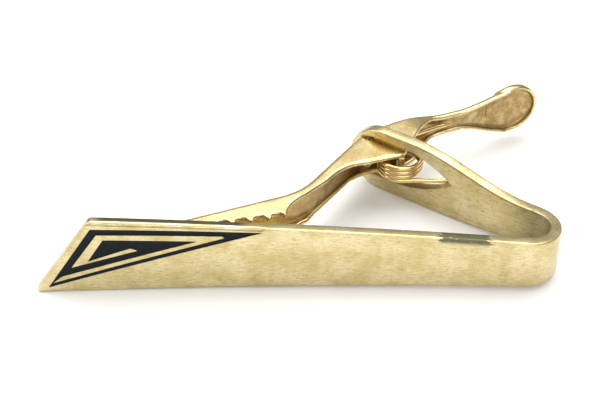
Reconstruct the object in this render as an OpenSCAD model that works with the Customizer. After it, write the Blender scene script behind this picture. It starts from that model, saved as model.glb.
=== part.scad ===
// Sprung tie clip: a tapered brass bar bent back on itself into an eye, with a
// pressed jaw lever through the eye, held shut by a wound spring, and a black
// enamel triangle let into the slanted end of the bar.
// The clip stands on the lower edge of its strip. X runs along the front bar,
// Y from the front bar to the jaw, Z across the width of the strip.

/* [Front bar] */
// Length of the straight front bar, slanted end to the start of the bend
bar_len = 52.9; // [51:0.5:54]
// Thickness of the brass strip
strip_t = 1.3; // [1.2:0.05:1.4]
// Height of the bar, taken at the corner of its slanted end
bar_h_left = 10.7; // [10:0.1:11.2]
// Height of the top edge of the bar where the bend starts
bar_h_right = 7.05; // [6.9:0.05:7.3]
// How far the lower edge rises along the bar
bar_rise = 0.6; // [0.5:0.05:0.7]
// How far the middle of the bar bows back
bar_bow = 0.56; // [0.4:0.02:0.7]
// How far the slanted end leans over from foot to top
end_slant = 7; // [6:0.1:7.4]
// Chamfer along the front top edge of the bar
bar_chamfer = 0.28; // [0.2:0.02:0.35]

/* [Bend and arm] */
// Inner radius of the bend
bend_ri = 2.6; // [2.4:0.1:2.8]
// Angle between the front bar and the back arm
arm_angle = 33; // [32:0.5:34]
// Height of the narrow neck of the arm at the bend
neck_top = 6; // [5.9:0.05:6.2]
// Height of the eye at the end of the arm
eye_h = 8.7; // [8.5:0.1:9]
// Distance along the arm to the middle of the eye's round end
eye_at = 19.6; // [19.4:0.1:19.8]

/* [Jaw lever] */
// Thickness of the lever's sheet
sheet_t = 0.6; // [0.5:0.05:0.6]
// Lowest level of the lever's channel
lever_z0 = 2.45; // [2.4:0.05:2.5]
// Highest level of the lever's channel
lever_z1 = 7.05; // [7:0.05:7.1]
// Height of the handle's channel
handle_h = 2.8; // [2.6:0.1:3.2]
// Distance between the teeth of the jaw
tooth_pitch = 2; // [1.9:0.05:2.1]
// Number of hollows between the teeth
tooth_count = 6; // [3:1:6]

/* [Spring] */
// Thickness of the spring's wire
wire_d = 0.56; // [0.45:0.01:0.58]
// Radius of the coil, to the middle of the wire
coil_r = 2.42; // [2.3:0.02:2.45]

/* [Enamel] */
// Depth of the hollow that holds the enamel
enamel_pocket = 0.4; // [0.3:0.05:0.5]
// How far the enamel's face lies under the face of the bar
enamel_sunk = 0.06; // [0.04:0.01:0.1]

/* [Hidden] */
$fn = 64;
cut = 20;                 // longer than any piece that is cut through
lap = 0.01;
gold = "#d9c07a";
black = "#15161a";

// Front bar: its front and back faces are two upright cylinders on one axis
bow_r = (pow(bar_len / 2, 2) + pow(bar_bow, 2)) / (2 * bar_bow);
bow_half = asin(bar_len / 2 / bow_r);
bow_axis = [bar_len / 2, bar_bow - bow_r, 0];
top_slope = atan((bar_h_left - bar_h_right) / bar_len);
top_lean = 8;             // fall of the top edge towards the back, degrees
foot_slope = atan(bar_rise / bar_len);
end_foot = -0.65;         // foot of the slanted end

// Bend
bend_ro = bend_ri + strip_t;
bend_axis = [bar_len + bend_ro * sin(bow_half), bend_ro * cos(bow_half), 0];
arm_turn = 180 - arm_angle;

// Arm: places on it are [s, n], s along the arm from the end of the bend and
// n out from its inner face, which looks at the front bar
arm_foot = [bend_axis[0] + bend_ri * sin(arm_turn), bend_axis[1] - bend_ri * cos(arm_turn)];
function arm_pt(s, n) = arm_foot + s * [cos(arm_turn), sin(arm_turn)]
                                 + n * [sin(arm_turn), -cos(arm_turn)];
eye_r = eye_h / 2;
win_top = 7.4;            // upper edge of the window in the eye
win_low = 2;              // lower edge of the window
win_end = 21.6;           // far end of the window along the arm
win_tip = [10.6, 4.9];    // pointed near end of the window
win_corner = 0.8;

// Jaw lever, in plan
pivot_gap = 0.05;
pivot = arm_pt(22.3, -sheet_t / 2 - pivot_gap);
nose_tip = [12.3, 3];
knee = [28.75, 8.9];      // bend between the nose and the middle of the lever
flange_from = [29.2, 8.3];
heel = [38.35, 20.2];     // bend behind the arm
handle_at = [43.4, 22.7]; // start of the straight handle
handle_dir = 21;
handle_len = 8;
handle_deep = 1.1;
spoon_at = 11.4;          // middle of the thumb piece along the handle
spoon_r = 3.35;
spoon_drop = 0.25;        // how far the thumb piece sits under the handle's middle
dish_r = 11;
lever_mid = (lever_z0 + lever_z1) / 2;
clear_s = 21.2;           // the lever stays this side of the window's far end
clear_n = strip_t + 0.35;
tooth_from = [26.9, 4.65];
tooth_to = [12.3, 1.85];
tooth_r = 0.8;

// Spring
coil_at = [40.1, 16.1];
coil_pitch = wire_d + 0.02;
leg_a_z = 4.15;
leg_a_len = 6.1;
leg_b_turn = 130;         // where the upper leg leaves the coil, degrees
leg_b_end = [44.9, 22.55, 4.9];
leg_b_tip = [46.6, 23.2, 4.8];
coil_turns = 3 + (270 - leg_b_turn) / 360;

// Enamel outline on the face of the bar, [x, z]
tri_top = [6.3, 9.2];
tri_foot = [0.95, 0.75];
tri_end = [24.5, 8.3];

// The finished part stands with its origin under the middle of its box
box_mid = [28.45, 14.1];
module in_frame() { translate([-box_mid[0], -box_mid[1], 0]) children(); }

// ---- curves and paths -------------------------------------------------
function bezier(a, b, c, n = 6) = [for (i = [0:n]) let (t = i / n)
    (1 - t) * (1 - t) * a + 2 * t * (1 - t) * b + t * t * c];
function unit(v) = v / norm(v);
function left_of(v) = [-v[1], v[0]];
function heading(p, i) = unit(p[min(i + 1, len(p) - 1)] - p[max(i - 1, 0)]);
function ramp(x, a, b) = let (t = min(max((x - a) / (b - a), 0), 1)) t * t * (3 - 2 * t);

// Corner b of a path, rounded between a and c, starting the given distance off
function rounded(a, b, c, off, n = 6) = bezier(b + off * unit(a - b), b, b + off * unit(c - b), n);

// Strip of even width along a path, half of it on each side
module band(path, width) {
    ends = len(path) - 1;
    left = [for (i = [0:ends]) path[i] + width / 2 * left_of(heading(path, i))];
    right = [for (i = [ends:-1:0]) path[i] - width / 2 * left_of(heading(path, i))];
    polygon(concat(left, right));
}

// Places children on the arm: X along it, Z up, the thickness towards -Y
module on_arm() { translate([arm_foot[0], arm_foot[1], 0]) rotate([0, 0, arm_turn]) children(); }

// Stands a flat outline up and gives it a depth from Y = 0 towards -Y
module upright(depth) { rotate([90, 0, 0]) linear_extrude(depth) children(); }

// ---- clip body --------------------------------------------------------
module bar_outline() {
    foot = [end_foot, 0];
    top = [end_foot + end_slant * (bar_h_left + 1) / bar_h_left, bar_h_left + 1];
    far = [bar_len + 1, bar_h_left + 1];
    far_foot = [bar_len + 1, 0];
    polygon(concat(rounded(far_foot, foot, top, 0.7), [top, far, far_foot]));
}

// Wall that follows the bow from one depth behind the face to another
module bow_wall(from, to) {
    translate(bow_axis) rotate([0, 0, 90 - bow_half])
        rotate_extrude(angle = 2 * bow_half + 1, $fn = 1440)
            translate([bow_r + from, 0]) square([to - from, cut]);
}

// Long thin ring that takes the corner off the front top edge of the bar
module bar_chamfer_ring() {
    c = bar_chamfer;
    rotate([0, 0, 90 - bow_half]) rotate_extrude(angle = 2 * bow_half + 1, $fn = 1440)
        polygon([[bow_r - c, -2 * c], [bow_r + 2 * c, c], [bow_r - c, c]]);
}

module front_bar() {
    difference() {
        intersection() {
            bow_wall(0, strip_t);
            translate([0, cut / 2, 0]) upright(cut) bar_outline();
        }
        translate([0, 0, bar_h_left]) rotate([0, top_slope, 0]) translate(bow_axis) bar_chamfer_ring();
    }
}

// The bend laps a hair over the ends of the bar and the arm, which joins them
module bend() {
    lap_turn = 0.3;
    translate(bend_axis) rotate([0, 0, -90 - bow_half - lap_turn])
        rotate_extrude(angle = arm_turn + bow_half + 2 * lap_turn)
            translate([bend_ri - lap, 0]) square([strip_t + 2 * lap, cut / 2]);
}

// Ring that takes the corner off the outer top edge of the bend
module bend_chamfer() {
    c = bar_chamfer;
    translate([bend_axis[0], bend_axis[1], bar_h_left - bend_axis[0] * tan(top_slope)
               - bend_axis[1] * tan(top_lean)])
        rotate([-top_lean, top_slope, 0]) rotate([0, 0, -90 - bow_half])
            rotate_extrude(angle = arm_turn + bow_half)
                polygon([[bend_ro - c, c], [bend_ro + c, c], [bend_ro + c, -2 * c]]);
}

// Takes everything above the sloping top edge and below the rising foot
module trim_edges() {
    difference() {
        children();
        translate([0, 0, bar_h_left]) rotate([-top_lean, top_slope, 0])
            translate([-cut, -cut, 0]) cube([4 * cut, 3 * cut, cut]);
        rotate([0, -foot_slope, 0]) translate([-cut, -cut, -cut]) cube([5 * cut, 3 * cut, cut]);
    }
}

module arm_outline() {
    steps = 12;
    run = [for (i = [0:steps]) eye_at * i / steps];
    top = [for (s = run) [s, neck_top + (eye_h - neck_top) * ramp(s, 2, 16)]];
    foot = [for (i = [steps:-1:0]) [run[i], bar_rise * (1 - ramp(run[i], 2, 14))]];
    polygon(concat([[-2 * lap, neck_top]], top, foot, [[-2 * lap, bar_rise]]));
    translate([eye_at, eye_r]) circle(eye_r);
}

// Pear-shaped hole: two long arcs from the tip, and a square end with round corners
module window_outline() {
    top_at = 17.5;
    low_at = 18.2;
    rise = win_top - win_tip[1];
    fall = win_tip[1] - win_low;
    top_r = (pow(top_at - win_tip[0], 2) + pow(rise, 2)) / (2 * rise);
    low_r = (pow(low_at - win_tip[0], 2) + pow(fall, 2)) / (2 * fall);
    intersection() {
        union() {
            translate([top_at, win_top - top_r]) circle(top_r, $fn = 180);
            translate([top_at, 0]) square([cut, win_top]);
        }
        union() {
            translate([low_at, win_low + low_r]) circle(low_r, $fn = 180);
            translate([low_at, win_low]) square([cut, cut]);
        }
        union() {
            square([win_end - win_corner, cut]);
            translate([0, win_low + win_corner])
                square([win_end, win_top - win_low - 2 * win_corner]);
            for (z = [win_low + win_corner, win_top - win_corner])
                translate([win_end - win_corner, z]) circle(win_corner);
        }
    }
}

module arm() {
    on_arm() difference() {
        upright(strip_t) arm_outline();
        translate([0, strip_t, 0]) upright(3 * strip_t) window_outline();
    }
}

// One fill of enamel runs round a gold line that turns in on itself
module enamel_outline() {
    difference() {
        polygon([tri_foot, tri_end, tri_top]);
        polygon([[1.5, 1.4], [2.6, 2.35], [17.5, 7.15], [7.5, 7.6], [5.6, 4.5],
                 [10.3, 6.3], [11.1, 5.95], [3.75, 3.65], [6.85, 8.35],
                 [20.2, 7.85], [20.5, 7.6]]);
    }
}

module clip_body() {
    color(gold) in_frame() {
        difference() {
            trim_edges() {
                front_bar();
                bend();
            }
            bend_chamfer();
            intersection() {
                bow_wall(-strip_t, enamel_pocket);
                translate([0, cut / 2, 0]) upright(cut) enamel_outline();
            }
        }
        arm();
    }
}

module enamel_fill() {
    color(black) in_frame() intersection() {
        bow_wall(enamel_sunk, enamel_pocket);
        translate([0, cut / 2, 0]) upright(cut) enamel_outline();
    }
}

// ---- jaw lever --------------------------------------------------------
// Back wall of the nose and the middle of the lever, up to the pivot
front_wall = concat([nose_tip], rounded(nose_tip, knee, pivot, 2.2), [pivot]);
// Back wall behind the arm, up to the start of the handle
back_wall = concat([arm_pt(clear_s + sheet_t / 2, clear_n)],
                   rounded(arm_pt(clear_s + sheet_t / 2, clear_n), heel, handle_at, 1.2),
                   [handle_at]);

module walls() {
    band(front_wall, sheet_t);
    translate(pivot) circle(sheet_t / 2);
    band(back_wall, sheet_t);
}

// Toothed flange of the nose, as one flat outline
module nose_outline() {
    difference() {
        polygon(concat([tooth_to, tooth_from],
                       bezier([27.05, 5.4], [27.4, 7], flange_from, 5),
                       [knee, nose_tip, [12.1, 2.5]]));
        for (i = [0:tooth_count - 1])
            translate(tooth_from + unit(tooth_to - tooth_from) * (tooth_pitch * i + 0.75))
                circle(tooth_r, $fn = 32);
    }
}

// Both ears end alike: along the handle, and round the far end of the eye
ear_back = [handle_at + [0.2, 0.05], heel, arm_pt(clear_s + sheet_t / 2, clear_n),
            arm_pt(clear_s, clear_n), arm_pt(clear_s, -pivot_gap), pivot];
ear_side = concat(bezier([41.9, 18.4], [43.6, 22.3], [44.75, 22.45], 7));

module top_ear_outline() {
    front_end = [37.9, 13.95];
    corner = [40.5, 15];
    polygon(concat([knee, flange_from, [31.6, 10.6]],
                   bezier([31.6, 10.6], [33.6, 13.5], [36.2, 13.65], 7),
                   rounded(front_end, corner, ear_side[0], 0.5, 4), ear_side, ear_back));
}

// The lower ear is cut shorter than the upper one, to let the spring in
module low_ear_outline() {
    polygon(concat(bezier([31.6, 12.6], [33.4, 15.8], [36.9, 16.8], 7),
                   bezier([39.2, 17.3], [41.6, 17.6], [42.6, 20], 5), [ear_side[6], ear_side[7]], ear_back));
}

// Channel: the walls at full height, with a flange along the top and the foot
module channel() {
    translate([0, 0, lever_z0]) linear_extrude(lever_z1 - lever_z0) walls();
    translate([0, 0, lever_z0]) linear_extrude(sheet_t) {
        nose_outline();
        low_ear_outline();
    }
    translate([0, 0, lever_z1 - sheet_t]) linear_extrude(sheet_t) {
        nose_outline();
        top_ear_outline();
    }
}

// Side view of the handle, seen square to its back wall, [along, z]
module handle_outline(inset) {
    full = (lever_z1 - lever_z0) / 2 - inset;
    slim = handle_h / 2 - inset;
    translate([0, lever_mid]) polygon([[-0.5, -full], [0, -full], [2.4, -slim], [handle_len, -slim],
                                       [handle_len, slim], [2.4, slim], [0, full], [-0.5, full]]);
}

// Round thumb piece that widens out of the end of the handle
module spoon_outline() {
    wide_at = spoon_at - 1;
    wide = spoon_r * 0.93;
    translate([spoon_at, lever_mid - spoon_drop]) circle(spoon_r);
    translate([0, lever_mid]) polygon(concat(
        bezier([handle_len - 1.4, handle_h / 2], [spoon_at - 2.8, handle_h / 2 + 0.1],
               [wide_at, wide - spoon_drop]),
        bezier([wide_at, -wide - spoon_drop], [spoon_at - 2.8, -handle_h / 2 - 0.1],
               [handle_len - 1.4, -handle_h / 2])));
}

module handle() {
    translate([handle_at[0], handle_at[1], 0]) rotate([0, 0, handle_dir]) {
        translate([0, sheet_t / 2, 0]) difference() {
            upright(handle_deep) handle_outline(0);
            translate([0, -sheet_t, 0]) upright(cut) handle_outline(sheet_t * 0.85);
        }
        intersection() {
            translate([0, cut / 2, 0]) upright(cut) spoon_outline();
            translate([spoon_at - 0.4, sheet_t - dish_r, lever_mid]) difference() {
                sphere(dish_r + sheet_t / 2, $fn = 180);
                sphere(dish_r - sheet_t / 2, $fn = 180);
            }
        }
    }
}

// Small tongues bent in from the corners of the ears, which hold the coil
module coil_tongues() {
    tongue = [0.75, 0.5, 1.1];
    top_at = coil_at + [-0.35, -1.35];
    low_at = coil_at + [-0.35, 1.2];
    translate([top_at[0], top_at[1], lever_z1 - sheet_t - tongue[2]]) cube(tongue + [0, 0, 0.1]);
    translate([low_at[0], low_at[1], lever_z0 + sheet_t - 0.1]) cube(tongue + [0, 0, 0.5]);
}

module jaw_lever() {
    color(gold) in_frame() {
        channel();
        handle();
        coil_tongues();
    }
}

// ---- spring -----------------------------------------------------------
coil_steps = round(coil_turns * 24);
spring_path = concat(
    [[coil_at[0] + leg_a_len, coil_at[1] - coil_r, leg_a_z],
     [coil_at[0] + leg_a_len / 2, coil_at[1] - coil_r, leg_a_z]],
    [for (i = [0:coil_steps]) let (a = 270 - 360 * coil_turns * i / coil_steps)
        [coil_at[0] + coil_r * cos(a), coil_at[1] + coil_r * sin(a),
         leg_a_z + coil_pitch * coil_turns * i / coil_steps]],
    [leg_b_end, leg_b_tip]);

// Round wire swept along a path that never stands upright
module wire(path, d, sides = 10) {
    rings = [for (i = [0:len(path) - 1])
        let (t = heading(path, i), side = unit(cross(t, [0, 0, 1])), up = cross(side, t))
        for (k = [0:sides - 1]) path[i] + d / 2 * (cos(360 * k / sides) * side + sin(360 * k / sides) * up)];
    last = (len(path) - 1) * sides;
    skin = [for (i = [0:len(path) - 2]) for (k = [0:sides - 1]) let (j = (k + 1) % sides)
        [i * sides + k, i * sides + j, (i + 1) * sides + j, (i + 1) * sides + k]];
    polyhedron(rings, concat(skin, [[for (k = [sides - 1:-1:0]) k]], [[for (k = [0:sides - 1]) last + k]]));
}

module torsion_spring() {
    color(gold) in_frame() wire(spring_path, wire_d);
}

clip_body();
jaw_lever();
torsion_spring();
enamel_fill();
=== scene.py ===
"""Sprung tie clip: gold-plated strip, pressed jaw lever, wound spring and black enamel."""
import math

import bmesh
import bpy
import numpy as np
from mathutils import Matrix, Vector, geometry


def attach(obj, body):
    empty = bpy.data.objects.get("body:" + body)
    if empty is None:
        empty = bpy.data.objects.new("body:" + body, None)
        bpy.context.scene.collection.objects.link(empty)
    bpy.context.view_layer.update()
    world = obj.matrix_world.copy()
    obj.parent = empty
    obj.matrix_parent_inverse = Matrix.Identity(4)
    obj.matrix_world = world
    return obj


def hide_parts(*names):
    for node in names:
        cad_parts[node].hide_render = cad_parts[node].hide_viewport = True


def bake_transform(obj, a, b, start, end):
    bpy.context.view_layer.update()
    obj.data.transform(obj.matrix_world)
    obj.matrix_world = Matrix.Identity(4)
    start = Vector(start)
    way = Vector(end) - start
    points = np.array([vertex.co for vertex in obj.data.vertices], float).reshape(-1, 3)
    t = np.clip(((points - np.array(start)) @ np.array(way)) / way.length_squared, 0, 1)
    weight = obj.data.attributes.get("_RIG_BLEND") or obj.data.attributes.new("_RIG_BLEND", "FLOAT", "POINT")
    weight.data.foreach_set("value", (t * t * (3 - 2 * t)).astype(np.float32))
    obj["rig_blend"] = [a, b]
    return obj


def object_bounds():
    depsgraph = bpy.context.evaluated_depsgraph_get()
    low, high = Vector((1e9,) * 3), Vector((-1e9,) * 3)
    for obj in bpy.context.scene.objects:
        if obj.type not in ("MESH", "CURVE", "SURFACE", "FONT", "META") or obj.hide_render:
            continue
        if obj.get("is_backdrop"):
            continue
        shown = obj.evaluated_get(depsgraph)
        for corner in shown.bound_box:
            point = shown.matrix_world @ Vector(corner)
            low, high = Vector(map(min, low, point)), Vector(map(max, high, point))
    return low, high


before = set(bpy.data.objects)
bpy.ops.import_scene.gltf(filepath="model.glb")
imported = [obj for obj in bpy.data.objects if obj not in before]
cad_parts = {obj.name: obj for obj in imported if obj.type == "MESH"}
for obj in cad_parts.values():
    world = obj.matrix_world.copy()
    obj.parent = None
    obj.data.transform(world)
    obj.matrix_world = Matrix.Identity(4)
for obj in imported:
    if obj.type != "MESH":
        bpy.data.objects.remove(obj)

CAD_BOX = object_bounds()
MM = 0.001

# ---- sizes, in millimetres: X and Y from the foot of the bar, Z from the surface it stands on ----
BOX_MID = Vector((28.45, 14.1, 0.0))
BAR_LEN = 52.9
STRIP_T = 1.3
BAR_TOP_LEFT = 10.7
BAR_TOP_RIGHT = 7.05
BAR_RISE = 0.6  # of the bar's lower edge, from its foot to the bend
BAR_BOW = 0.56  # of the bar in plan
TOP_LEAN = math.tan(math.radians(8))  # fall of the top edge toward the back
BEND_RI = 2.6
BEND_RO = BEND_RI + STRIP_T
ARM_TURN = math.radians(147)
EYE_H = 8.7
EYE_AT = 19.6  # from the start of the arm to the middle of the eye
SHEET_T = 0.6
LEVER_Z0 = 2.45
LEVER_Z1 = 7.05
LEVER_MID = (LEVER_Z0 + LEVER_Z1) / 2
WIRE_R = 0.28
COIL_R = 2.42
COIL_AT = (40.1, 16.1)
COIL_TURNS = 3 + 140 / 360

BOW_R = ((BAR_LEN / 2) ** 2 + BAR_BOW ** 2) / (2 * BAR_BOW)
BOW_HALF = math.asin(BAR_LEN / 2 / BOW_R)
BOW_AXIS = Vector((BAR_LEN / 2, BAR_BOW - BOW_R))
BEND_AXIS = Vector((BAR_LEN + BEND_RO * math.sin(BOW_HALF), BEND_RO * math.cos(BOW_HALF)))
TOP_FALL = (BAR_TOP_LEFT - BAR_TOP_RIGHT) / BAR_LEN
FOOT_RISE = BAR_RISE / BAR_LEN
ARM_DIR = Vector((math.cos(ARM_TURN), math.sin(ARM_TURN)))
ARM_OUT = Vector((math.sin(ARM_TURN), -math.cos(ARM_TURN)))
# Where the bend and the arm start, measured along the strip's outer face
U_BEND = BOW_R * 2 * BOW_HALF
U_ARM = U_BEND + BEND_RO * (ARM_TURN + BOW_HALF)


def linked(name, data):
    """A new object, in the scene."""
    made = bpy.data.objects.new(name, data)
    bpy.context.collection.objects.link(made)
    return made


# ---- camera, lights and floor ------------------------------------------------------------
def add_camera():
    elevation, azimuth, roll = math.radians(42.0), math.radians(-0.33), math.radians(-0.48)
    away = Vector((math.sin(azimuth) * math.cos(elevation), math.cos(azimuth) * math.cos(elevation),
                   -math.sin(elevation)))
    level = Vector((math.cos(azimuth), -math.sin(azimuth), 0))
    above = level.cross(away)
    right = level * math.cos(roll) + above * math.sin(roll)
    up = above * math.cos(roll) - level * math.sin(roll)
    target = (Vector((28.5, 5.0, 9.03)) - BOX_MID) * MM
    distance = 151.3 * MM
    camera = linked("camera", bpy.data.cameras.new("camera"))
    camera.data.sensor_width = 36
    camera.data.lens = 84
    camera.data.clip_start = 0.001
    turn = Matrix((right, up, -away)).transposed().to_4x4()
    camera.matrix_world = Matrix.Translation(target - away * distance) @ turn
    bpy.context.scene.camera = camera


def add_softbox(name, at, size, power):
    data = bpy.data.lights.new(name, "AREA")
    data.shape = "RECTANGLE"
    data.size, data.size_y = size
    data.energy = power
    box = linked(name, data)
    box.location = at
    box.rotation_euler = (-Vector(at)).to_track_quat("-Z", "Y").to_euler()


def add_studio():
    world = bpy.data.worlds.new("studio")
    world.use_nodes = True
    tree = world.node_tree
    height = tree.nodes.new("ShaderNodeSeparateXYZ")
    sky = tree.nodes.new("ShaderNodeMapRange")
    for key, value in (("From Min", 0.0), ("From Max", 0.75), ("To Min", 0.10), ("To Max", 0.70)):
        sky.inputs[key].default_value = value
    tree.links.new(tree.nodes.new("ShaderNodeTexCoord").outputs["Generated"], height.inputs[0])
    tree.links.new(height.outputs["Z"], sky.inputs["Value"])
    tree.links.new(sky.outputs["Result"], tree.nodes["Background"].inputs["Strength"])
    tree.nodes["Background"].inputs["Color"].default_value = (1.0, 0.99, 0.97, 1)
    bpy.context.scene.world = world
    bpy.context.scene.view_settings.view_transform = "Standard"
    add_softbox("softbox_top", (0.02, 0.10, 0.30), (0.36, 0.26), 1.15)
    add_softbox("softbox_left", (-0.30, -0.05, 0.18), (0.20, 0.20), 0.40)
    add_softbox("softbox_front", (0.10, -0.30, 0.20), (0.30, 0.16), 0.45)

    half = 0.6
    mesh = bpy.data.meshes.new("floor")
    mesh.from_pydata([(-half, -half, 0), (half, -half, 0), (half, half, 0), (-half, half, 0)], [],
                     [(0, 1, 2, 3)])
    floor = linked("floor", mesh)
    paper = bpy.data.materials.new("floor_paper")
    paper.use_nodes = True
    shader = paper.node_tree.nodes["Principled BSDF"]
    shader.inputs["Base Color"].default_value = (0.86, 0.86, 0.86, 1)
    shader.inputs["Roughness"].default_value = 0.7
    mesh.materials.append(paper)
    floor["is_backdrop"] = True


add_camera()
add_studio()


# ---- material nodes ------------------------------------------------------------------------
class Nodes:
    """Short names for the shader nodes that the materials below are built from."""

    def __init__(self, name):
        self.material = bpy.data.materials.new(name)
        self.material.use_nodes = True
        self.tree = self.material.node_tree
        self.shader = self.tree.nodes["Principled BSDF"]

    def node(self, kind, **values):
        made = self.tree.nodes.new(kind)
        for key, value in values.items():
            setattr(made, key, value)
        return made

    def put(self, value, socket):
        if isinstance(value, bpy.types.NodeSocket):
            self.tree.links.new(value, socket)
        else:
            socket.default_value = value

    def math(self, operation, first, *others, clamp=False):
        """One operation over two or more values, taken from the left."""
        for other in others:
            made = self.node("ShaderNodeMath", operation=operation, use_clamp=clamp)
            self.put(first, made.inputs[0])
            self.put(other, made.inputs[1])
            first = made.outputs[0]
        return first

    def step(self, value, start, end):
        """0 before start, 1 after end, and smooth between."""
        made = self.node("ShaderNodeMapRange", interpolation_type="SMOOTHSTEP")
        self.put(value, made.inputs["Value"])
        self.put(start, made.inputs["From Min"])
        self.put(end, made.inputs["From Max"])
        return made.outputs["Result"]

    def span(self, value, range_mm, soft):
        """1 inside a range and 0 outside it."""
        rise = self.step(value, range_mm[0] - soft, range_mm[0] + soft)
        fall = self.step(value, range_mm[1] + soft, range_mm[1] - soft)
        return self.math("MULTIPLY", rise, fall)

    def flat(self):
        """The piece's own flat coordinates in millimetres: along, across and depth."""
        return self.node("ShaderNodeAttribute", attribute_name="flat").outputs["Vector"]

    def stretched(self, vector, scale):
        made = self.node("ShaderNodeMapping")
        self.put(vector, made.inputs["Vector"])
        made.inputs["Scale"].default_value = scale
        return made.outputs["Vector"]

    def noise(self, vector, scale, detail=4.0, rough=0.55):
        made = self.node("ShaderNodeTexNoise")
        self.put(vector, made.inputs["Vector"])
        made.inputs["Scale"].default_value = scale
        made.inputs["Detail"].default_value = detail
        made.inputs["Roughness"].default_value = rough
        return made.outputs["Fac"]

    def mix(self, factor, a, b):
        made = self.node("ShaderNodeMix", data_type="RGBA")
        self.put(factor, made.inputs["Factor"])
        for value, socket in ((a, made.inputs[6]), (b, made.inputs[7])):
            self.put((*value, 1) if isinstance(value, tuple) else value, socket)
        return made.outputs[2]

    def bump(self, height, strength, depth_mm):
        made = self.node("ShaderNodeBump")
        self.put(height, made.inputs["Height"])
        made.inputs["Strength"].default_value = strength
        made.inputs["Distance"].default_value = depth_mm * MM
        return made.outputs["Normal"]

    def split(self, vector):
        made = self.node("ShaderNodeSeparateXYZ")
        self.put(vector, made.inputs[0])
        return made.outputs


# The darkest and the lightest colour of tarnished or rubbed plating, also used for painted shade on the
# strip
TARNISH_AND_SHADE = ((0.030, 0.032, 0.018), (0.16, 0.155, 0.09))
# Painted shade and warm reflection for the inside of the lever's channel and thumb dish
INSIDE_SHADE_AND_REFLECTION = ((0.16, 0.085, 0.025), (0.46, 0.29, 0.11))


def gold(name, tint, deep, rough, brushed, wear_or_shade=None, stain_or_shade=TARNISH_AND_SHADE):
    """Gold plating: hazy tint, fine lines along the strip, pits, and optional patches of wear, stain or
    painted shade.

    The optional mask function takes the nodes and gives a mask that is 1 where the plating is gone or
    stained, or where shade is painted in.
    """
    n = Nodes(name)
    flat = n.flat()
    haze = n.noise(flat, 0.35, 5.0)
    grain = n.noise(n.stretched(flat, (0.55, 6.0, 6.0)), 1.6, 7.0, 0.72)
    blotch = n.noise(n.stretched(flat, (1.0, 2.2, 2.2)), 1.5, 5.0, 0.7)
    pits = n.step(n.noise(n.stretched(flat, (0.6, 1.3, 1.3)), 5.0, 4.0, 0.6), 0.62, 0.70)
    dim = tuple(0.66 * c for c in deep)
    dark = tuple(0.28 * c for c in deep)
    lines = n.math("MULTIPLY", n.step(grain, 0.50, 0.62), 3.2 * brushed, clamp=True)
    colour = n.mix(n.step(haze, 0.35, 0.68), tint, deep)
    colour = n.mix(n.math("MULTIPLY", n.step(blotch, 0.50, 0.72), 0.5), colour, dim)
    colour = n.mix(lines, colour, dim)
    colour = n.mix(n.math("MULTIPLY", pits, 0.8), colour, dark)
    roughness = n.math("ADD", n.math("MULTIPLY", grain, brushed), rough - brushed / 2)
    roughness = n.math("ADD", roughness, n.math("MULTIPLY", blotch, 0.10))
    height = n.math("ADD", n.math("MULTIPLY", grain, brushed * 5.0), n.math("MULTIPLY", pits, -0.6))
    # Tarnish, wear or painted shade, wherever the mask is set, in the stain or shade colour
    if wear_or_shade is not None:
        mask = wear_or_shade(n)
        stain_or_shade_colour = n.mix(n.noise(flat, 3.5, 5.0, 0.7), *stain_or_shade)
        colour = n.mix(mask, colour, stain_or_shade_colour)
        roughness = n.math("ADD", roughness, n.math("MULTIPLY", mask, 0.22), clamp=True)
        height = n.math("SUBTRACT", height, n.math("MULTIPLY", mask, 0.6))
    n.put(colour, n.shader.inputs["Base Color"])
    n.put(roughness, n.shader.inputs["Roughness"])
    n.put(n.bump(height, 0.35, 0.03), n.shader.inputs["Normal"])
    n.shader.inputs["Metallic"].default_value = 1.0
    return n.material


def strip_wear_and_shade(n):
    """Mask of the places on the strip where the plating is tarnished or bare, and of painted shade in a
    groove and on the inside of the bend and arm.
    """
    along, across, depth = n.split(n.flat())
    ragged = n.noise(n.stretched(n.flat(), (1.0, 3.0, 3.0)), 1.2, 6.0, 0.7)
    speck = n.step(n.noise(n.flat(), 1.6, 6.0, 0.75), 0.56, 0.68)
    top = n.math("SUBTRACT", BAR_TOP_LEFT, n.math("MULTIPLY", along, TOP_FALL))
    below = n.math("SUBTRACT", top, across)

    # Tarnish on the back half of the bar's top edge
    starts = n.math("ADD", 0.05, n.math("MULTIPLY", ragged, 0.5))
    tarnish = n.math("MULTIPLY", n.span(along, (6.6, 23.0), 1.2), n.step(depth, starts, 0.5),
                     n.step(below, 0.34, 0.16))
    # A thin dark line on the front, just below that edge: painted shade of a shallow groove, which the bump
    # also presses in
    groove_shade = n.math("MULTIPLY", n.span(below, (0.40, 0.50), 0.05), n.span(along, (6.0, 24.6), 0.3),
                    n.step(depth, 0.2, 0.0), 0.75)
    # The bare patch near the bend, with ragged ends
    patch_ends = n.math("ADD", along, n.math("MULTIPLY", n.math("SUBTRACT", ragged, 0.5), 5.0))
    patch = n.math("MULTIPLY", n.span(patch_ends, (43.3, 48.8), 0.25), n.step(below, 1.05, 0.3),
                   n.step(ragged, 0.28, 0.42), 0.9)
    # Specks along the arm's top edge, and painted shade and warm reflection on its inside, brownish, deepest
    # in the bend and speckled
    specks = n.math("MULTIPLY", n.span(along, (58.0, 76.0), 4.0), n.step(across, 4.2, 5.8), speck, 0.75)
    inner = n.math("MULTIPLY", n.step(depth, 1.05, 1.28), n.span(along, (56.0, 84.0), 3.0))
    inside_shade = n.math("ADD", 0.12, n.math("MULTIPLY", n.span(along, (58.5, 65.0), 2.5), 0.5),
                   n.math("MULTIPLY", speck, 0.3))
    return n.math("MAXIMUM", tarnish, groove_shade, n.math("MULTIPLY", inner, inside_shade), patch, specks)


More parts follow.
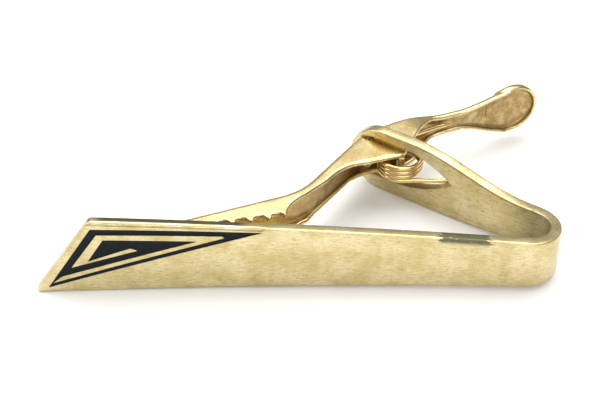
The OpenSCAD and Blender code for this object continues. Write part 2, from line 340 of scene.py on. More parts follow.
def lever_inside_shade(n):
    """Painted shade and warm reflection, brownish and patchy, on the inside of the lever, most of all
    between the ears and in the thumb piece.
    """
    along, _, _ = n.split(n.flat())
    inner = n.node("ShaderNodeAttribute", attribute_name="inner").outputs["Fac"]
    cloud = n.step(n.noise(n.flat(), 0.9, 5.0, 0.65), 0.34, 0.62)
    much = n.math("ADD", 0.42, n.math("MULTIPLY", cloud, 0.4))
    return n.math("MULTIPLY", inner, much, n.step(along, 13.0, 19.0))


def enamel(name):
    n = Nodes(name)
    flat = n.flat()
    cloud = n.noise(flat, 0.9, 4.0, 0.6)
    dust = n.step(n.noise(flat, 9.0, 2.0), 0.70, 0.76)
    colour = n.mix(cloud, (0.003, 0.003, 0.004), (0.010, 0.012, 0.014))
    colour = n.mix(n.math("MULTIPLY", dust, 0.5), colour, (0.12, 0.12, 0.11))
    n.put(colour, n.shader.inputs["Base Color"])
    n.put(n.math("ADD", 0.10, n.math("MULTIPLY", cloud, 0.12)), n.shader.inputs["Roughness"])
    n.put(n.bump(n.noise(flat, 1.4, 3.0), 0.25, 0.05), n.shader.inputs["Normal"])
    n.shader.inputs["Specular IOR Level"].default_value = 0.10
    return n.material


# ---- outlines ------------------------------------------------------------------------------
def unit(v):
    return v / np.linalg.norm(v)


def between(a, b, t):
    return a * (1 - t) + b * t


def ramp(x, a, b):
    """0 before a, 1 after b, and smooth between."""
    t = min(max((x - a) / (b - a), 0), 1)
    return t * t * (3 - 2 * t)


def run_along(path):
    """Length of a path up to each of its points."""
    return np.concatenate([[0], np.cumsum(np.linalg.norm(np.diff(path, axis=0), axis=1))])


def bezier(a, b, c, count=8):
    t = np.linspace(0, 1, count + 1)[:, None]
    return list((1 - t) ** 2 * np.array(a) + 2 * t * (1 - t) * np.array(b) + t ** 2 * np.array(c))


def rounded(a, b, c, off, count=6):
    """Corner b of a path from a to c, rounded from the given distance off."""
    a, b, c = (np.array(p, float) for p in (a, b, c))
    return bezier(b + off * unit(a - b), b, b + off * unit(c - b), count)


def softened(points, off):
    """A closed outline with every corner rounded."""
    out = []
    for k, point in enumerate(points):
        out += rounded(points[k - 1], point, points[(k + 1) % len(points)], off, 4)
    return out


def arc(centre, radius, start, end, count):
    turn = np.radians(np.linspace(start, end, count + 1))
    return list(np.array(centre) + radius * np.stack([np.cos(turn), np.sin(turn)], -1))


def filled(points, gap):
    """A closed loop with extra points, so that none are further apart than gap."""
    out = []
    points = [np.array(p, float) for p in points]
    for a, b in zip(points, points[1:] + points[:1]):
        parts = max(1, math.ceil(np.linalg.norm(b - a) / gap))
        out.extend(a + (b - a) * k / parts for k in range(parts))
    return np.array(out)


def wound(loop, anticlockwise):
    x, y = loop[:, 0], loop[:, 1]
    area = np.sum(x * np.roll(y, -1) - np.roll(x, -1) * y)
    return loop if (area > 0) == anticlockwise else loop[::-1]


def inward(loop):
    """Per point, the way into the material on the loop's left, longer at a sharp corner."""
    ahead = np.roll(loop, -1, 0) - loop
    ahead /= np.linalg.norm(ahead, axis=1)[:, None]
    left = np.stack([-ahead[:, 1], ahead[:, 0]], -1)
    both = left + np.roll(left, 1, 0)
    size = np.maximum((both ** 2).sum(1), 0.35)
    return both * 2 / size[:, None]


def room(loop, way):
    """Per point, how far in an edge can be set before it meets another part of the loop.

    It is most of the radius of the largest ball that touches the loop at the point and holds no
    other point of it.
    """
    across = loop[None, :, :] - loop[:, None, :]
    far = (across ** 2).sum(-1)
    toward = (across * (way / np.linalg.norm(way, axis=1)[:, None])[:, None, :]).sum(-1)
    ball = np.where(toward > 1e-6, far / (2 * np.maximum(toward, 1e-6)), 99.0)
    return 0.8 * ball.min(1)


def inside(points, loops):
    """True where a point is inside an odd number of the loops."""
    odd = np.zeros(len(points), bool)
    for loop in loops:
        for (x0, y0), (x1, y1) in zip(loop, np.roll(loop, -1, 0)):
            if y0 == y1:
                continue
            crosses = (y0 > points[:, 1]) != (y1 > points[:, 1])
            odd ^= crosses & (points[:, 0] < (x1 - x0) * (points[:, 1] - y0) / (y1 - y0) + x0)
    return odd


def clearance(points, loops):
    """Distance from each point to the nearest loop point."""
    ring = np.concatenate(loops)
    return np.array([np.sqrt(((ring - p) ** 2).sum(1).min()) for p in points])


def triangulate(loops, gap):
    """Points and triangles of the area inside the loops, with a net of points inside it.

    The last value is the number of points on the loops, which come first.
    """
    low = np.min([loop.min(0) for loop in loops], 0)
    high = np.max([loop.max(0) for loop in loops], 0)
    xs = np.arange(low[0] + gap / 2, high[0], gap)
    ys = np.arange(low[1] + gap / 2, high[1], gap)
    net = np.stack(np.meshgrid(xs, ys), -1).reshape(-1, 2)
    net = net[inside(net, loops)]
    net = net[clearance(net, loops) > gap * 0.45]
    points, edges = [], []
    for loop in loops:
        start = len(points)
        points.extend(loop)
        edges.extend((start + i, start + (i + 1) % len(loop)) for i in range(len(loop)))
    border = len(points)
    points.extend(net)
    flat = [Vector(p) for p in points]
    _, _, faces, origin, _, _ = geometry.delaunay_2d_cdt(flat, edges, [], 0, 1e-7)
    home = {i: k for k, came in enumerate(origin) for i in came}
    walls = {frozenset((home[a], home[b])) for a, b in edges}
    kept = [face for face, is_in in zip(faces, flooded(faces, walls))
            if is_in and all(origin[i] for i in face)]
    return np.array(points), [tuple(origin[i][0] for i in face) for face in kept], border


def flooded(faces, walls):
    """Per triangle, whether an odd number of walls is crossed on the way in from outside."""
    sides = [[frozenset(pair) for pair in zip(face, face[1:] + face[:1])] for face in faces]
    beside = {}
    for f, pairs in enumerate(sides):
        for pair in pairs:
            beside.setdefault(pair, []).append(f)
    within = {}
    for pair, pair_faces in beside.items():
        if len(pair_faces) == 1:
            within[pair_faces[0]] = pair in walls
    waiting = list(within)
    while waiting:
        f = waiting.pop()
        for pair in sides[f]:
            for g in beside[pair]:
                if g not in within:
                    within[g] = within[f] != (pair in walls)
                    waiting.append(g)
    return [within[f] for f in range(len(faces))]


# ---- solids ----------------------------------------------------------------------------------
class Solid:
    """Collects points, faces and flat coordinates, and makes one smooth mesh object of them."""

    def __init__(self, name, place=None):
        self.name, self.place = name, place
        self.points, self.flat, self.inner, self.faces = [], [], [], []

    def put(self, point, flat, is_inner=False):
        """Adds a point and gives its number. is_inner marks the inside of the lever."""
        self.points.append(point)
        self.flat.append(flat)
        self.inner.append(1 if is_inner else 0)
        return len(self.points) - 1

    def add(self, along, across, depth):
        """Adds the point that place finds for the flat coordinates."""
        flat = (float(along), float(across), float(depth))
        return self.put(self.place(*flat), flat)

    def raw(self, name):
        """The points and faces so far as an object in millimetres."""
        mesh = bpy.data.meshes.new(name)
        mesh.from_pydata(np.array(self.points, float).tolist(), [], self.faces)
        flat = mesh.attributes.new("flat", "FLOAT_VECTOR", "POINT")
        flat.data.foreach_set("vector", np.array(self.flat, float).ravel())
        inner = mesh.attributes.new("inner", "FLOAT", "POINT")
        inner.data.foreach_set("value", np.array(self.inner, float))
        mesh.validate()
        shell = bmesh.new()
        shell.from_mesh(mesh)
        bmesh.ops.remove_doubles(shell, verts=shell.verts, dist=1e-5)
        bmesh.ops.recalc_face_normals(shell, faces=shell.faces)
        shell.to_mesh(mesh)
        shell.free()
        return linked(name, mesh)

    def finish(self, material, body, node, tools=()):
        """Makes the piece. tools are (operation, object) pairs that add to it or cut it."""
        blank = self.raw("blank")
        for operation, tool in tools:
            step = blank.modifiers.new(operation, "BOOLEAN")
            step.operation, step.object, step.solver = operation, tool, "MANIFOLD"
        graph = bpy.context.evaluated_depsgraph_get()
        mesh = bpy.data.meshes.new_from_object(blank.evaluated_get(graph))
        for used in [blank] + [tool for _, tool in tools]:
            bpy.data.objects.remove(used)
        if tools:
            mend(mesh)
        mesh.name = self.name
        mesh.transform(Matrix.Scale(MM, 4) @ Matrix.Translation(-BOX_MID))
        mesh.materials.clear()
        mesh.materials.append(material)
        mesh.shade_smooth()
        mesh.set_sharp_from_angle(angle=math.radians(40))
        piece = linked(self.name, mesh)
        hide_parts(node)
        if body:
            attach(piece, body)
        return piece


def mend(mesh):
    """Gives the points made by a cut or a joint the mean flat coordinates of those around them.

    A point is inner if any of those is.
    """
    shell = bmesh.new()
    shell.from_mesh(mesh)
    flat, inner = shell.verts.layers.float_vector["flat"], shell.verts.layers.float["inner"]
    blank = [vert for vert in shell.verts if vert[flat].length == 0]
    found = blank
    while blank and found:
        found = []
        for vert in blank:
            near = [edge.other_vert(vert) for edge in vert.link_edges]
            near = [other for other in near if other[flat].length > 0]
            if near:
                mean = sum((other[flat] for other in near), Vector()) / len(near)
                found.append((vert, mean, max(other[inner] for other in near)))
        for vert, mean, is_inner in found:
            vert[flat], vert[inner] = mean, is_inner
        blank = [vert for vert in blank if vert[flat].length == 0]
    shell.to_mesh(mesh)
    shell.free()


def rings(solid, loop, profile):
    """Rings of points along a loop, one per (offset, depth) in the profile, joined by faces.

    An offset or a depth can be a number or a function of the point on the loop.
    """
    way = inward(loop)
    most = room(loop, way)
    made = []
    for offset, depth in profile:
        ring = []
        for k, point in enumerate(loop):
            off = min(offset(point) if callable(offset) else offset, most[k])
            deep = depth(point) if callable(depth) else depth
            ring.append(solid.add(*(point + way[k] * off), deep))
        made.append(ring)
    for a, b in zip(made, made[1:]):
        solid.faces += [(a[k - 1], b[k - 1], b[k], a[k]) for k in range(len(loop))]
    return made


def cap(solid, borders, gap, depth):
    """Fills the area inside rings of points. depth is a number or gives one per point inside."""
    loops = [np.array([solid.flat[i][:2] for i in ring]) for ring in borders]
    points, triangles, border = triangulate(loops, gap)
    net = points[border:]
    deep = depth(net, loops) if callable(depth) else [depth] * len(net)
    ids = [i for ring in borders for i in ring]
    ids += [solid.add(*p, d) for p, d in zip(net, deep)]
    solid.faces += [(ids[a], ids[b], ids[c]) for a, b, c in triangles]


def tube(solid, count):
    """Joins the solid's points, in rings of count points each, and closes both ends."""
    last = len(solid.points) - count
    for a in range(0, last, count):
        b = a + count
        solid.faces += [(a + k, a + (k + 1) % count, b + (k + 1) % count, b + k) for k in range(count)]
    solid.faces += [tuple(range(count))[::-1], tuple(range(last, last + count))]


def quarter_turns(steps):
    return [math.radians(90 * k / steps) for k in range(steps + 1)]


def edge_profile(edge, thick):
    """Rounded front edge, straight side and rounded back edge. edge gives the size at a point.

    The first and the last ring lie a little further in, on the flat faces, to support the edges.
    """
    def front(a):
        return (lambda p: edge(p) * (1 - math.sin(a)), lambda p: edge(p) * (1 - math.cos(a)))

    def back(a):
        return (lambda p: edge(p) * (1 - math.cos(a)), lambda p: thick - edge(p) * (1 - math.sin(a)))

    def further(p):
        return edge(p) + 0.06

    turns = quarter_turns(5)
    return [(further, 0.0)] + [front(a) for a in turns] + [back(a) for a in turns] + [(further, thick)]


# ---- clip body -------------------------------------------------------------------------------
LEAN_HEIGHT = 8  # the strip leans more and more up to this height
LEAN_FADE = 6  # and is upright again this far along the arm


def strip_place(along, across, depth):
    """Point on the strip: along its outer face, up its width, and into its thickness.

    The upper part of the inner face is lower than the outer one, as the top edge leans back.
    """
    if along < U_BEND:
        turn = math.pi / 2 + BOW_HALF - along / BOW_R
        at = [BOW_AXIS + (BOW_R + d) * Vector((math.cos(turn), math.sin(turn))) for d in (0, depth)]
    elif along < U_ARM:
        turn = -math.pi / 2 - BOW_HALF + (along - U_BEND) / BEND_RO
        at = [BEND_AXIS + (BEND_RO - d) * Vector((math.cos(turn), math.sin(turn))) for d in (0, depth)]
    else:
        foot = BEND_AXIS + BEND_RO * ARM_OUT + (along - U_ARM) * ARM_DIR
        at = [foot - d * ARM_OUT for d in (0, depth)]
    fall = at[0] - at[1]
    lean = (fall[0] * TOP_FALL + fall[1] * TOP_LEAN) * min(max(across / LEAN_HEIGHT, 0), 1)
    fade = min(max((U_ARM + LEAN_FADE - along) / LEAN_FADE, 0), 1)
    return (at[1][0], at[1][1], across + lean * fade)


def top_at(along):
    x, y, _ = strip_place(along, 0, 0)
    return BAR_TOP_LEFT - x * TOP_FALL - y * TOP_LEAN


def strip_outline():
    """Round the strip, anticlockwise: foot to the eye, round it, and back along the top."""
    foot, peak_z = (-0.6, 0.0), 10.3
    slant = 7 / BAR_TOP_LEFT  # of the bar's left end, per millimetre of height
    corner = rounded((foot[0] + slant, 1), foot, (6, FOOT_RISE * 6), 0.7)
    low = [(x, FOOT_RISE * x) for x in np.linspace(6, U_BEND, 40)]
    low += [(u, BAR_RISE) for u in np.linspace(U_BEND, U_ARM, 24)[1:]]
    low += [(U_ARM + s, BAR_RISE * (1 - ramp(s, 2, 14))) for s in np.linspace(0, EYE_AT, 30)[1:]]
    eye = arc((U_ARM + EYE_AT, EYE_H / 2), EYE_H / 2, -90, 90, 40)
    neck = top_at(U_ARM)
    top = [(U_ARM + s, neck + (EYE_H - neck) * ramp(s, 1.5, 16))
           for s in np.linspace(EYE_AT, 0, 34)[1:]]
    top += [(u, top_at(u)) for u in np.linspace(U_ARM, U_BEND, 26)[1:]]
    peak_x = foot[0] + slant * peak_z
    top += [(x, top_at(x)) for x in np.linspace(U_BEND, peak_x + 0.6, 40)[1:]]
    peak = rounded((peak_x + 1, top_at(peak_x + 1)), (peak_x, top_at(peak_x)),
                   (peak_x - slant, top_at(peak_x) - 1), 0.45, 5)
    return corner + low[1:] + eye[1:-1] + top + peak


def window_outline():
    """Pear-shaped window in the eye, from its pointed end to the rounded far end."""
    tip = np.array((10.6, 4.9))
    top, low, end, corner = 7.4, 2.0, 21.6, 0.8
    top_x, low_x = 17.5, 18.2  # where the two long sides are widest apart
    rise, fall = top - tip[1], tip[1] - low
    top_r = ((top_x - tip[0]) ** 2 + rise ** 2) / (2 * rise)
    low_r = ((low_x - tip[0]) ** 2 + fall ** 2) / (2 * fall)
    top_turn = math.degrees(math.asin((top_x - tip[0]) / top_r))
    low_turn = math.degrees(math.asin((low_x - tip[0]) / low_r))
    loop = arc((low_x, low + low_r), low_r, -90 - low_turn, -90, 24)
    loop += arc((end - corner, low + corner), corner, -90, 0, 8)
    loop += arc((end - corner, top - corner), corner, 0, 90, 8)
    loop += arc((top_x, top - top_r), top_r, 90, 90 + top_turn, 24)[:-1]
    return [(U_ARM + s, z) for s, z in loop]


# The hollow for the enamel: its outline, and that of the gold lines left standing in it
ENAMEL_OUTER = [(0.95, 0.75), (24.5, 8.3), (6.3, 9.2)]
ENAMEL_INNER = [(1.5, 1.4), (2.6, 2.35), (17.5, 7.15), (7.5, 7.6), (5.6, 4.5), (10.3, 6.3),
                (11.1, 5.95), (3.75, 3.65), (6.85, 8.35), (20.2, 7.85), (20.5, 7.6)]
POCKET = 0.38
POCKET_EDGE = 0.05
BRIM = 0.05  # how far below the metal the enamel starts


def enamel_loops(is_fill):
    """The two outlines of the enamel, with the enamel or the metal on the left of them."""
    outer = filled(softened(ENAMEL_OUTER, 0.12), 0.25)
    inner = filled(softened(ENAMEL_INNER, 0.07), 0.2)
    return wound(outer, is_fill), wound(inner, not is_fill)


def build_clip_body():
    solid = Solid("clip_body_strip", strip_place)
    outer = wound(filled(strip_outline(), 0.35), True)
    hole = wound(filled(window_outline(), 0.25), False)

    def outer_edge(p):
        """Larger at the bar's slanted end and along the top of the enamelled part."""
        slant = ramp(8.5 - p[0] + (p[1] - 5) * 0.7, 0, 1.5)
        top = ramp(p[1] - 4.5, 0, 1) if p[0] < U_BEND else 0
        band = top * ramp(24.9 - p[0], 0, 0.5)
        return 0.2 + max(0.2 * slant, 0.05 * top, 0.2 * band)

    front, back, floor = [], [], []
    for loop, size in ((outer, outer_edge), (hole, lambda p: 0.22)):
        made = rings(solid, loop, edge_profile(size, STRIP_T))
        front.append(made[0])
        back.append(made[-1])
    profile = [(POCKET_EDGE + 0.03, 0.0)]
    profile += [(POCKET_EDGE * (1 - math.sin(a)), POCKET_EDGE * (1 - math.cos(a)))
                for a in quarter_turns(3)]
    profile.append((0.0, POCKET))
    for loop in enamel_loops(False):
        made = rings(solid, loop, profile)
        front.append(made[0])
        floor.append(made[-1])
    cap(solid, front, 0.45, 0.0)
    cap(solid, back, 0.45, STRIP_T)
    cap(solid, floor, 0.5, POCKET)
    material = gold("gilt_brass", (0.74, 0.64, 0.37), (0.60, 0.48, 0.22), 0.26, 0.24, strip_wear_and_shade)
    solid.finish(material, "clip", "clip_body")


def build_enamel():
    """Poured enamel: it meets the metal just under flush and sinks a little in the middle."""
    solid = Solid("enamel_fill_glaze", strip_place)
    bottom = POCKET - 0.01
    front, back = [], []
    for loop in enamel_loops(True):
        made = rings(solid, loop, [(0.055, BRIM + 0.02), (0.025, BRIM + 0.007), (0.006, BRIM),
                                   (0.006, bottom)])
        front.append(made[0])
        back.append(made[-1])

    def dished(points, loops):
        return [BRIM + 0.02 + 0.07 * (1 - math.exp(-d / 0.3)) for d in clearance(points, loops)]

    cap(solid, front, 0.22, dished)
    cap(solid, back, 0.6, bottom)
    solid.finish(enamel("black_enamel"), "clip", "enamel_fill")


# ---- jaw lever -------------------------------------------------------------------------------
# Outer line of the lever's back wall in plan, and the line of its handle
NOSE, KNEE, SHOULDER, HEEL = (12.15, 3.12), (28.45, 9.05), (35.2, 18.35), (38.1, 20.55)
WRIST, NECK = (43.3, 23.05), (49.6, 25.45)
HANDLE_TURN = math.radians(21)
HANDLE_DIR = np.array((math.cos(HANDLE_TURN), math.sin(HANDLE_TURN)))
HANDLE_BACK = np.array((-math.sin(HANDLE_TURN), math.cos(HANDLE_TURN)))
# Half the lever's height and the rounding of its corners: at the channel, handle and thumb piece
CHANNEL_HALF, HANDLE_HALF = 2.3, 1.42
CHANNEL_CORNER, SPOON_CORNER = 0.72, 0.95
DEPTH_MOST = 7.0
# The thumb piece: a round dish, a little lower than the handle and a little behind its line
SPOON_R = 3.3
SPOON_DROP = 0.25
SPOON_BACK = 0.24
SPOON_AT = np.array((43.4, 22.7)) + 11.4 * HANDLE_DIR
SPOON_TIP = tuple(SPOON_AT + (SPOON_R - 0.02) * HANDLE_DIR + SPOON_BACK * HANDLE_BACK)
RIM_H, RIM_LOW = 0.85, 0.40
DISH_DEEP = 0.5
DISH_T = 0.45
# Two small tongues that hold the coil: their size and low corners
TONGUE = (0.75, 0.5, 1.2)
TONGUES = ((COIL_AT[0] - 0.35, COIL_AT[1] - 1.35, LEVER_Z1 - SHEET_T - 1.1),
           (COIL_AT[0] - 0.35, COIL_AT[1] + 1.2, LEVER_Z0 + SHEET_T - 0.1))
TOOTH_FROM, TOOTH_TO = np.array((26.9, 4.65)), np.array((12.3, 1.85))
TOOTH_PITCH, TOOTH_R, TOOTH_COUNT = 2.0, 0.8, 7
# Parts of the front edge that the two flanges share: the front of the ears, and the handle
EAR_SIDE = bezier((41.9, 18.4), (43.6, 22.3), (44.75, 22.5), 10)
HANDLE_RIM = [(46.5, 23.3), (48.6, 24.1), (50.2, 24.62), (52, 25.35), (58, 27.6)]


def back_line():
    path = [np.array(NOSE)] + rounded(NOSE, KNEE, SHOULDER, 2.2, 10)
    path += rounded(KNEE, SHOULDER, HEEL, 1.4, 8) + rounded(SHOULDER, HEEL, WRIST, 1.4, 8)
    path += rounded(HEEL, WRIST, NECK, 1.5, 8) + rounded(WRIST, NECK, SPOON_TIP, 1.5, 8)
    return np.array(path + [np.array(SPOON_TIP)])


def scalloped():
    """Front edge of the nose: shallow round hollows with teeth between them."""
    along = unit(TOOTH_TO - TOOTH_FROM)
    back = np.array((along[1], -along[0]))
    line = [TOOTH_FROM]
    for k in range(TOOTH_COUNT):
        middle = TOOTH_FROM + along * (TOOTH_PITCH * k + 0.75)
        for turn in np.radians(np.linspace(180, 0, 11)):
            line.append(middle + TOOTH_R * (math.cos(turn) * along + math.sin(turn) * 0.8 * back))
    line.append(TOOTH_TO)
    return line[::-1]


def top_front():
    """Front edge of the upper flange, from the nose to the thumb piece."""
    line = scalloped() + bezier((27.05, 5.4), (27.4, 7), (29.2, 8.3), 6)
    line += bezier((31.6, 10.6), (33.6, 13.5), (36.2, 13.65), 10)
    line += rounded((37.9, 13.95), (40.5, 15), EAR_SIDE[0], 0.5, 5)
    return np.array([*line, *EAR_SIDE, *HANDLE_RIM])


def low_front():
    """Front edge of the lower flange, whose ear is shorter."""
    line = scalloped() + bezier((27.05, 5.4), (27.6, 7.4), (29.35, 8.35), 6)
    line += [(31.2, 11.4)] + bezier((32.3, 13.0), (33.6, 15.4), (36.9, 16.8), 10)
    line += bezier((39.2, 17.3), (41.6, 17.6), (42.9, 20.3), 8)
    return np.array([*line, *EAR_SIDE[5:], *HANDLE_RIM])


def smooth(values, width):
    kernel = np.hanning(width + 2)[1:-1]
    padded = np.pad(values, width // 2, mode="edge")
    return np.convolve(padded, kernel / kernel.sum(), "valid")[:len(values)]


def reach(start, way, line):
    """Distance from start along way to the first crossing of a line."""
    best = 99.0
    for a, b in zip(line[:-1], line[1:]):
        edge = b - a
        turn = way[0] * edge[1] - way[1] * edge[0]
        if abs(turn) < 1e-9:
            continue
        gap = a - start
        far = (gap[0] * edge[1] - gap[1] * edge[0]) / turn
        part = (gap[0] * way[1] - gap[1] * way[0]) / turn
        if far > 0.2 and -0.001 <= part <= 1.001:
            best = min(best, far)
    return best


def lever_section(depth_top, depth_low, z_top, z_low, corner, bulge, thick):
    """Closed ring round the channel, with the same number of points at every place.

    Each point has its distance in from the back line, its height, and whether it is inside.
    """
    half, mid = thick / 2, (z_top + z_low) / 2
    small = max(corner - thick, 0.06)
    quarter = np.radians(np.linspace(0, 90, 9))[1:]
    tip = np.radians(np.linspace(-90, 90, 9))[1:-1]
    flanges = []
    for side, depth, z in ((1, depth_top, z_top), (-1, depth_low, z_low)):
        end = max(depth - half, corner + 0.01)
        outer = [(w, z) for w in np.linspace(end, corner, 9)]
        outer += [(corner - corner * math.sin(a), z - side * (corner - corner * math.cos(a)))
                  for a in quarter]
        inner = [(w, z - side * thick) for w in np.linspace(end, corner, 9)]
        inner += [(thick + small - small * math.sin(a), z - side * (thick + small - small * math.cos(a)))
                  for a in quarter]
        edge = [(end + half * math.cos(a), z - side * (half - half * math.sin(a))) for a in tip]
        flanges.append((outer, inner, edge))
    (top_outer, top_inner, top_edge), (low_outer, low_inner, low_edge) = flanges

    def wall(start, end, inset, rounding):
        """Points of the back wall between its two rounded corners."""
        span = (z_top - z_low) / 2 - rounding
        return [(inset - bulge * (1 - q * q), mid + q * span) for q in np.linspace(start, end, 13)[1:-1]]

    outside = top_outer + wall(1, -1, 0.0, corner) + low_outer[::-1] + low_edge[::-1]
    channel = low_inner + wall(-1, 1, thick, max(corner, thick + 0.06)) + top_inner[::-1]
    return ([(w, z, False) for w, z in outside] + [(w, z, True) for w, z in channel]
            + [(w, z, False) for w, z in top_edge])


def spoon_dish(spoon_u):
    """Round thumb piece with a raised rim that runs out where the handle joins it."""
    solid = Solid("dish")
    centre = SPOON_AT + SPOON_BACK * HANDLE_BACK
    z_mid = LEVER_MID - SPOON_DROP
    edge, lip = 0.3, 0.2  # roundings of the outer edge and of the rim's top
    rim_in = SPOON_R - 2 * lip
    sink = 0.2  # how much lower the dish is where the handle joins it

    def dome(r):
        return -DISH_DEEP * (1 - (r / SPOON_R) ** 2)

    def profile(height):
        """(radius, height) round the dish's section, from the middle of its back to its floor."""
        out = [(r, dome(r)) for r in np.linspace(0.4, SPOON_R - edge, 9)]
        low = dome(SPOON_R - edge)
        out += [(SPOON_R - edge + edge * math.sin(a), low + (edge + 0.1) * (1 - math.cos(a)))
                for a in np.radians((30, 60, 90))]
        out += [(SPOON_R - lip + lip * math.cos(a), height - lip + lip * math.sin(a))
                for a in np.radians(np.linspace(0, 180, 9))]
        foot = rim_in - 0.7
        floor = dome(foot) + DISH_T
        out += bezier((rim_in, height - lip), (rim_in - 0.05, floor), (foot, floor), 6)[1:]
        return out + [(r, dome(r) + DISH_T) for r in np.linspace(foot - 0.2, 0.4, 9)]

    def put(r, turn, height, low=0.0):
        w = height - sink * low * (r / SPOON_R) ** 2
        at = centre + r * math.cos(turn) * HANDLE_DIR - w * HANDLE_BACK
        z = z_mid + r * math.sin(turn)
        is_floor = (r < rim_in or low > 0.3) and height > dome(r) + DISH_T * 0.4
        return solid.put((at[0], at[1], z), (spoon_u + r * math.cos(turn), z + w, w), is_floor)

    columns = []
    for turn in np.linspace(0, 2 * math.pi, 97)[:-1]:
        low = ramp(-math.cos(turn), 0.42, 0.7)
        columns.append([put(r, turn, w, low) for r, w in profile(between(RIM_H, RIM_LOW, low))])
    ends = [put(0, 0, dome(0)), put(0, 0, dome(0) + DISH_T)]
    for a, b in zip(columns, columns[1:] + columns[:1]):
        solid.faces += [(a[k], b[k], b[k + 1], a[k + 1]) for k in range(len(a) - 1)]
        solid.faces += [(ends[0], b[0], a[0]), (ends[1], a[-1], b[-1])]
    return solid.raw("dish")


def block(name, low_corner, size, bevel):
    """A small block with bevelled edges, from its low corner."""
    shell = bmesh.new()
    bmesh.ops.create_cube(shell, size=1)
    for vert in shell.verts:
        vert.co = [c + (v + 0.5) * s for v, c, s in zip(vert.co, low_corner, size)]
    bmesh.ops.bevel(shell, geom=shell.edges[:], offset=bevel, segments=3, affect="EDGES", profile=0.5)
    mesh = bpy.data.meshes.new(name)
    shell.to_mesh(mesh)
    shell.free()
    return linked(name, mesh)


def eye_notch():
    """Cuts the room for the end of the eye, which stands in the lever's heel."""
    foot = BEND_AXIS + BEND_RO * ARM_OUT
    near, far, outer, inner, high = 21.2, 25, -0.05, 1.65, 10
    corners = []
    for z in (0, high):
        for s, n in ((near, outer), (far, outer), (far, inner), (near, inner)):
            at = foot + s * ARM_DIR - n * ARM_OUT
            corners.append((at[0], at[1], z))
    mesh = bpy.data.meshes.new("notch")
    mesh.from_pydata(corners, [], [(3, 2, 1, 0), (4, 5, 6, 7), (0, 1, 5, 4), (1, 2, 6, 5),
                                   (2, 3, 7, 6), (3, 0, 4, 7)])
    return linked("notch", mesh)


def build_lever():
    path = back_line()
    run = run_along(path)
    knee_u = np.linalg.norm(np.array(KNEE) - np.array(NOSE))
    wrist_u, neck_u = (run[np.argmin(np.linalg.norm(path - np.array(at), axis=1))]
                       for at in (WRIST, NECK))
    end_u = run[-1]
    spoon_u = end_u - SPOON_R
    places = np.concatenate([np.arange(0, knee_u, 0.11), np.arange(knee_u, spoon_u - 0.6, 0.2)])
    starts = np.stack([np.interp(places, run, path[:, k]) for k in (0, 1)], -1)
    # The way from the back wall to the front, in degrees
    turns = [(0, -70), (knee_u - 2.4, -70), (knee_u + 2.4, -35.7), (knee_u + 7.0, -35.7),
             (wrist_u, -67), (end_u, -69)]
    angles = np.radians(smooth(np.interp(places, *zip(*turns)), 9))
    top_line, low_line = top_front(), low_front()

    def sizes(u, depth_top, depth_low):
        """The values of lever_section at a place, given how far the two front edges are."""
        half = between(CHANNEL_HALF, HANDLE_HALF, ramp(u, wrist_u - 3.2, wrist_u + 2.4))
        middle = LEVER_MID
        if u > neck_u - 3.5:
            off = u - spoon_u
            disc = math.sqrt(max(SPOON_R ** 2 - off * off, 0.0)) if off > -SPOON_R else 0.0
            widening = ramp(u, neck_u - 2.6, spoon_u - 0.6)
            neck = HANDLE_HALF + (SPOON_R * 0.9 - HANDLE_HALF) * widening
            half = max(disc - 0.02, neck) if off < -1.6 else disc - 0.02
            middle -= SPOON_DROP * ramp(u, neck_u - 2.6, spoon_u)
        spoon = ramp(u, neck_u - 3.0, neck_u + 1.8)
        corner = between(CHANNEL_CORNER, SPOON_CORNER, spoon)
        depths = [min(depth, DEPTH_MOST) for depth in (depth_top, depth_low)]
        if u > neck_u - 3.0:
            rim = between(1.05, RIM_H - 0.02, spoon)
            depths = [between(depth, rim, spoon) for depth in depths]
        thick = SHEET_T - (SHEET_T - DISH_T + 0.05) * spoon
        bulge = (DISH_DEEP - 0.04) * spoon * min(half / SPOON_R, 1) ** 2
        depths = [max(depth, corner + thick / 2 + 0.02) for depth in depths]
        return *depths, middle + half, middle - half, corner, bulge, thick

    solid = Solid("jaw_lever_pressing")
    for u, start, angle in zip(places, starts, angles):
        way = np.array((math.cos(angle), math.sin(angle)))
        ring = lever_section(*sizes(u, reach(start, way, top_line), reach(start, way, low_line)))
        for w, z, is_inner in ring:
            solid.put((*(start + way * w), z), (u, z + w, w), is_inner)
    tube(solid, len(ring))
    # The inside of the channel and the dish gets painted shade and warm reflection
    material = gold("lever_brass", (0.80, 0.66, 0.35), (0.66, 0.49, 0.22), 0.22, 0.10,
                    lever_inside_shade, INSIDE_SHADE_AND_REFLECTION)
    tools = [("UNION", spoon_dish(spoon_u))]
    tools += [("UNION", block("tongue", at, TONGUE, 0.09)) for at in TONGUES]
    tools.append(("DIFFERENCE", eye_notch()))
    solid.finish(material, "lever", "jaw_lever", tools)


# ---- spring ------------------------------------------------------------------------------------
LEG_Z, LEG_LEN = 4.15, 6.1
UPPER_BEND, UPPER_TIP = np.array((44.9, 22.55, 4.9)), np.array((46.6, 23.2, 4.8))
WIRE_SIDES = 20
# The wire's radius near its ends, as (distance from the end, share of the full radius)
WIRE_ENDS = ((0.0, 0.15), (0.02, 0.6), (0.08, 0.85), (0.2, 1.0))
# The bending part of the lower leg, as distances along a slanted line. The coil and the upper
# leg stay short of its start
BLEND_TURN = math.radians(-35)
BLEND_RUN = (0.9, 4.4)


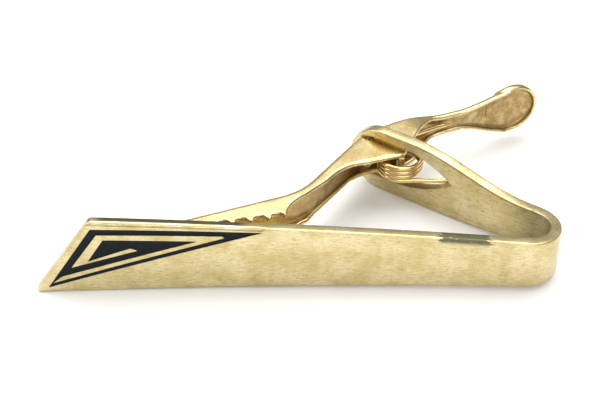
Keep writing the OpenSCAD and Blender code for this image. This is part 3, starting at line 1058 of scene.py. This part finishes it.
def spring_path():
    """Lower leg, coil and upper leg, in a fine even run of points."""
    pitch = 2 * WIRE_R + 0.02
    path = [np.array((COIL_AT[0] + s, COIL_AT[1] - COIL_R, LEG_Z)) for s in np.linspace(LEG_LEN, 0.2, 24)]
    for a in np.linspace(0, 1, round(COIL_TURNS * 60) + 1):
        turn = math.radians(270 - 360 * COIL_TURNS * a)
        path.append(np.array((COIL_AT[0] + COIL_R * math.cos(turn), COIL_AT[1] + COIL_R * math.sin(turn),
                              LEG_Z + pitch * COIL_TURNS * a)))
    leave = path[-1]
    start = leave + (UPPER_BEND - leave) * 0.08
    path += [start + (UPPER_BEND - start) * t for t in np.linspace(0, 0.85, 14)]
    path += bezier(UPPER_BEND + (leave - UPPER_BEND) * 0.12, UPPER_BEND,
                   UPPER_BEND + (UPPER_TIP - UPPER_BEND) * 0.4, 8)[1:]
    return np.array(path + [UPPER_TIP])


def build_spring():
    path = spring_path()
    run = run_along(path)
    solid = Solid("torsion_spring_wire")
    for u, point, ahead in zip(run, path, np.gradient(path, axis=0)):
        ahead = unit(ahead)
        side = unit(np.cross(ahead, (0, 0, 1)))
        up = np.cross(side, ahead)
        radius = WIRE_R * np.interp(min(u, run[-1] - u), *zip(*WIRE_ENDS))
        for s in range(WIRE_SIDES):
            a = 2 * math.pi * s / WIRE_SIDES
            solid.put(point + radius * (math.cos(a) * side + math.sin(a) * up), (u, WIRE_R * a, 0.0))
    tube(solid, WIRE_SIDES)
    material = gold("spring_wire", (0.80, 0.63, 0.32), (0.66, 0.46, 0.19), 0.18, 0.06)
    piece = solid.finish(material, None, "torsion_spring")
    leg_root = Vector((COIL_AT[0] + 0.6, COIL_AT[1] - COIL_R, LEG_Z)) - BOX_MID
    slant = Vector((math.cos(BLEND_TURN), math.sin(BLEND_TURN), 0))
    start, end = ((leg_root + slant * far) * MM for far in BLEND_RUN)
    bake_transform(piece, "lever", "clip", start=tuple(start), end=tuple(end))


build_clip_body()
build_enamel()
build_lever()
build_spring()

boxes = {"cad": CAD_BOX, "visual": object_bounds()}
{name: [[float(c) for c in corner] for corner in box] for name, box in boxes.items()}
